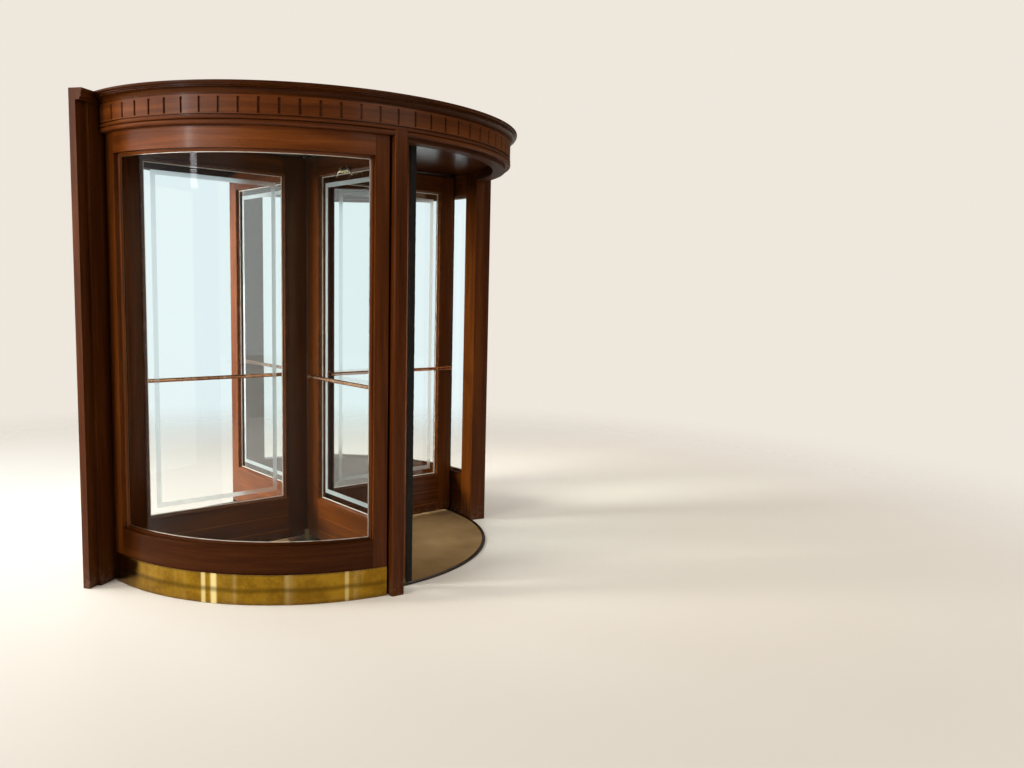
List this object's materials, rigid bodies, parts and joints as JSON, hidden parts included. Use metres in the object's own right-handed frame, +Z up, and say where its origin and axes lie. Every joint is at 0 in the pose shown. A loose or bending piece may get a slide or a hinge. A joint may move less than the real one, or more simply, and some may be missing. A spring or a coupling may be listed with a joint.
{
  "type": "revolving door",
  "caption": "Round wooden revolving door with curved glass walls, brass kick plates and a turning cross of glazed leaves with push bars.",
  "frame": {"origin": "on the floor at the axis on which the leaves turn", "axes": "+Z up along the turning axis, +X along the building's wall, -Y towards the lobby"},
  "size_m": [2.4224, 2.4224, 2.42],
  "materials": {
    "mat": "ribbed entrance matting, worn brown",
    "floor_metal": "dull dark metal, scuffed",
    "wall_glass": "clear curved glass with a slight green tint",
    "leaf_glass": "clear glass with a polished bevel round the edge",
    "kick_brass": "polished, slightly uneven",
    "bar_brass": "polished reddish brass, worn by hands",
    "brush_hair": "black sealing brush in a strip",
    "ceiling_wood": "dark varnished mahogany, high gloss",
    "deck_wood": "plain dust cover, matt",
    "fascia_wood": "varnished mahogany, grain along the ring",
    "leaf_wood": "varnished mahogany, grain along the rails and uprights",
    "shaft_metal": "dark brown paint",
    "post_wood": "varnished mahogany, upright grain",
    "jamb_wood": "varnished mahogany, upright grain",
    "wall_wood": "varnished mahogany, high gloss"
  },
  "bodies": {
    "drum": {"floor_mat": "mat", "mat_rim": "floor_metal", "floor_pivot": "floor_metal", "ceiling": "ceiling_wood", "top_deck": "deck_wood", "fascia": "fascia_wood", "fascia_band": "fascia_wood", "cornice": "fascia_wood", "lobby_header": "ceiling_wood", "street_header": "ceiling_wood", "west_lobby_post": "post_wood", "west_street_post": "post_wood", "west_bottom_rail": "wall_wood", "west_top_rail": "wall_wood", "west_stiles": "wall_wood", "west_glass": "wall_glass", "west_kick_plate": "kick_brass", "west_back_panel": "wall_wood", "west_jamb": "jamb_wood", "east_lobby_post": "post_wood", "east_street_post": "post_wood", "east_bottom_rail": "wall_wood", "east_top_rail": "wall_wood", "east_stiles": "wall_wood", "east_glass": "wall_glass", "east_kick_plate": "kick_brass", "east_back_panel": "wall_wood", "east_jamb": "jamb_wood"},
    "rotor": {"central_shaft": "shaft_metal", "leaf_1_frame": "leaf_wood", "leaf_1_glass": "leaf_glass", "leaf_1_push_bar": "bar_brass", "leaf_1_brushes": "brush_hair", "leaf_2_frame": "leaf_wood", "leaf_2_glass": "leaf_glass", "leaf_2_push_bar": "bar_brass", "leaf_2_brushes": "brush_hair", "leaf_3_frame": "leaf_wood", "leaf_3_glass": "leaf_glass", "leaf_3_push_bar": "bar_brass", "leaf_3_brushes": "brush_hair", "leaf_4_frame": "leaf_wood", "leaf_4_glass": "leaf_glass", "leaf_4_push_bar": "bar_brass", "leaf_4_brushes": "brush_hair"}
  },
  "joints": [
    {"name": "rotor_spin", "type": "hinge", "parent": "drum", "child": "rotor", "pos_m": [0, 0, 0], "axis": [0, 0, 1], "continuous": true}
  ]
}
